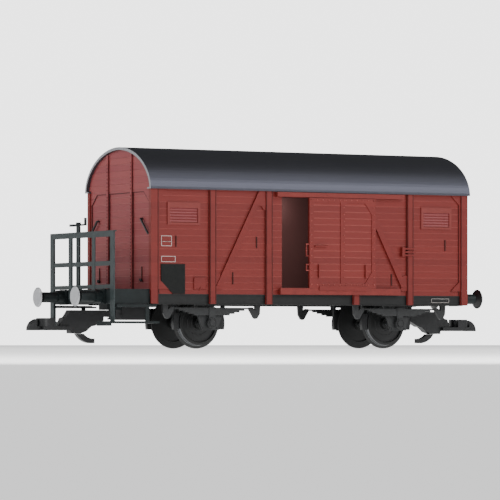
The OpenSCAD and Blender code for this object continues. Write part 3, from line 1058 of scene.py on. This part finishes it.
for end in (-1, 1):
    face = end * end_boards
    bars = []
    for hand in (-1, 1):
        bars.append(
            [
                (face, hand * 40.5, 110.0),
                (face + end * 2.2, hand * 40.5, 110.0),
                (face + end * 2.2, hand * 54.0, 97.2),
                (face, hand * 54.0, 97.2),
            ]
        )
    make(
        "end_grab_bars",
        "wagon_body",
        chassis_black,
        "frame_black",
        bent_bars,
        bars,
        Radius=0.95 * MM,
        Bend=0.8 * MM,
    )
    # Lamp irons, drawn in the dark brown painted-shade colour.
    irons = [
        [(face + end * 0.4, hand * 39.5, 58.0), (face + end * 0.4, hand * 39.5, 69.5)]
        for hand in (-1, 1)
    ]
    make(
        "lamp_irons",
        "wagon_body",
        painted_shade_brown,
        "planks",
        bent_bars,
        irons,
        Radius=0.5 * MM,
        Bend=0.0,
    )
    hooks = [
        [
            (face, hand * 39.5, 57.6),
            (face + end * 1.8, hand * 39.5, 57.6),
            (face + end * 1.8, hand * 39.5, 59.4),
        ]
        for hand in (-1, 1)
    ]
    make(
        "lamp_iron_feet",
        "wagon_body",
        chassis_black,
        "frame_black",
        bent_bars,
        hooks,
        Radius=1.0 * MM,
        Bend=0.5 * MM,
    )

# The brake column's sleeve, over the spindle from its foot to just under the crank.
make(
    "brake_column_sleeve",
    "wagon_body",
    railing_painted_lighter,
    "frame_black",
    bent_bars,
    [[(column_x, column_y, deck_top + 1.7), (column_x, column_y, deck_top + 54.2)]],
    Radius=2.0 * MM,
    Bend=0.0,
)

# ---------------------------------------------------------------------------
# Wheels and running gear
# ---------------------------------------------------------------------------

# Radii of the raised rings on each wheel's face.
WHEEL_RINGS = (15.6, 10.4, 6.4)

for end, body in ((-1, "front_wheelset"), (1, "rear_wheelset")):
    for hand in (-1, 1):
        for radius in WHEEL_RINGS:
            make(
                body + "_rings",
                body,
                chassis_black,
                "wheel_steel",
                raised_rings,
                [[(end * axle_reach, hand * wheel_face_y, axle_z)]],
                Ring_Radius=radius * MM,
                Wire_Radius=0.4 * MM,
                Facing=(0, hand, 0),
            )

# Bolt heads on each axle's guard plates: along the top, down the legs and
# round the foot, as (reach from the axle, height above it).
GUARD_BOLTS = [(-13.5, 13.0), (13.5, 13.0), (-10.6, 5.6), (10.6, 5.6), (-6.6, -4.4), (6.6, -4.4)]

for end, name in ((-1, "front"), (1, "rear")):
    for hand in (-1, 1):
        make(
            name + "_guard_bolts",
            "wagon_body",
            chassis_black,
            "frame_black",
            bolt_heads,
            [[(end * axle_reach + x, hand * guard_y, axle_z + z)] for x, z in GUARD_BOLTS],
            Radius=0.8 * MM,
            Height=1.0 * MM,
            Facing=(0, hand, 0),
        )
        make(
            name + "_box_rings",
            "wagon_body",
            chassis_black,
            "frame_black",
            raised_rings,
            [[(end * axle_reach, hand * box_y, axle_z)]],
            Ring_Radius=3.7 * MM,
            Wire_Radius=0.35 * MM,
            Facing=(0, hand, 0),
        )

# Four bolts in each buffer's square foot.
foot_faces = ((-1, -193.6), (1, 159.6))
for end, face in foot_faces:
    corners = []
    for hand in (-1, 1):
        for across_foot in (-5.0, 5.0):
            for up in (-5.0, 5.0):
                corners.append([(face, hand * 35.75 + across_foot, 44.0 + up)])
    make(
        "buffer_foot_bolts",
        "wagon_body",
        platform_black,
        "frame_black",
        bolt_heads,
        corners,
        Radius=0.8 * MM,
        Height=0.8 * MM,
        Facing=(end, 0, 0),
    )

# ---------------------------------------------------------------------------
# Finish the pieces, then the stage, lights and camera
# ---------------------------------------------------------------------------

finish_pieces()

floor_mesh = bpy.data.meshes.new("studio_floor")
floor_half = 8.0
floor_mesh.from_pydata(
    [
        (-floor_half, -floor_half, 0),
        (floor_half, -floor_half, 0),
        (floor_half, floor_half, 0),
        (-floor_half, floor_half, 0),
    ],
    [],
    [(0, 1, 2, 3)],
)
studio_floor = bpy.data.objects.new("studio_floor", floor_mesh)
bpy.context.scene.collection.objects.link(studio_floor)
floor_paint, floor_tree, floor_shader = blank_material("pale_floor_paint")
floor_shader.inputs["Base Color"].default_value = linear("#e9e9e7")
floor_shader.inputs["Roughness"].default_value = 0.9
floor_shader.inputs["Emission Color"].default_value = linear("#ffffff")
floor_shader.inputs["Emission Strength"].default_value = 1.0
floor_mesh.materials.append(floor_paint)


def softbox(name, azimuth, elevation, distance, width, height, power):
    """A rectangular light that faces the wagon. Azimuth 0 is +X and 90 is +Y."""
    target = Vector((body_x * MM, 0, 0.08))
    a = math.radians(azimuth)
    e = math.radians(elevation)
    away = Vector((math.cos(e) * math.cos(a), math.cos(e) * math.sin(a), math.sin(e)))
    light = bpy.data.lights.new(name, "AREA")
    light.shape = "RECTANGLE"
    light.size = width
    light.size_y = height
    light.energy = power
    lamp = bpy.data.objects.new(name, light)
    bpy.context.scene.collection.objects.link(lamp)
    lamp.location = target + away * distance
    lamp.rotation_euler = (-away).to_track_quat("-Z", "Y").to_euler()
    return lamp


softbox("key_softbox", -60, 27, 2.0, 1.6, 1.0, 19.5)
# Only shows as a reflection, so the roof's sheen reaches up past its middle.
sheen = softbox("roof_sheen_softbox", -60, 58, 2.0, 1.8, 0.8, 6)
sheen.visible_diffuse = False
softbox("end_softbox", 150, 24, 2.0, 1.6, 1.0, 20)
softbox("fill_softbox", -114, 8, 2.4, 0.9, 0.6, 15)


def inside_lamp(name, x, y, z, dip, turn, size, power):
    """A small lamp inside the wagon that points at +Y, turned and dipped by the given angles."""
    light = bpy.data.lights.new(name, "AREA")
    light.size = size
    light.energy = power
    lamp = bpy.data.objects.new(name, light)
    bpy.context.scene.collection.objects.link(lamp)
    lamp.location = at(x, y, z)
    lamp.rotation_euler = (math.radians(90 - dip), 0, math.radians(turn))
    lamp.visible_camera = False


# Two lamps under the roof: one keeps the open doorway from going black, the
# other lights the top of the far wall, as daylight that reaches in would.
inside_lamp("inside_glow", -14.0, -18.0, 132.0, 40, -10, 0.05, 0.05)
inside_lamp("far_wall_glow", 31.0, 40.0, 126.0, 5, 0, 0.01, 0.0016)

world = bpy.data.worlds.new("studio")
world.use_nodes = True
bpy.context.scene.world = world
sky = world.node_tree
sky.nodes.clear()
ray = add(sky, "ShaderNodeLightPath")
seen = add(sky, "ShaderNodeBackground", {"Color": (1.0, 1.0, 1.0, 1.0), "Strength": 3.2})
lit = add(sky, "ShaderNodeBackground", {"Color": (0.9, 0.95, 1.0, 1.0), "Strength": 0.07})
both = add(
    sky,
    "ShaderNodeMixShader",
    {0: ray.outputs["Is Camera Ray"], 1: lit.outputs[0], 2: seen.outputs[0]},
)
add(sky, "ShaderNodeOutputWorld", {"Surface": both.outputs[0]})

lens = bpy.data.cameras.new("studio_camera")
lens.lens = 256.6
lens.sensor_width = 36.0
lens.shift_y = 0.188
lens.clip_start = 0.01
lens.clip_end = 50.0
camera = bpy.data.objects.new("studio_camera", lens)
bpy.context.scene.collection.objects.link(camera)
camera.location = (-1.5326, -2.7122, 0.0040)
camera.rotation_euler = (math.radians(90), 0, math.radians(-29.33))
bpy.context.scene.camera = camera
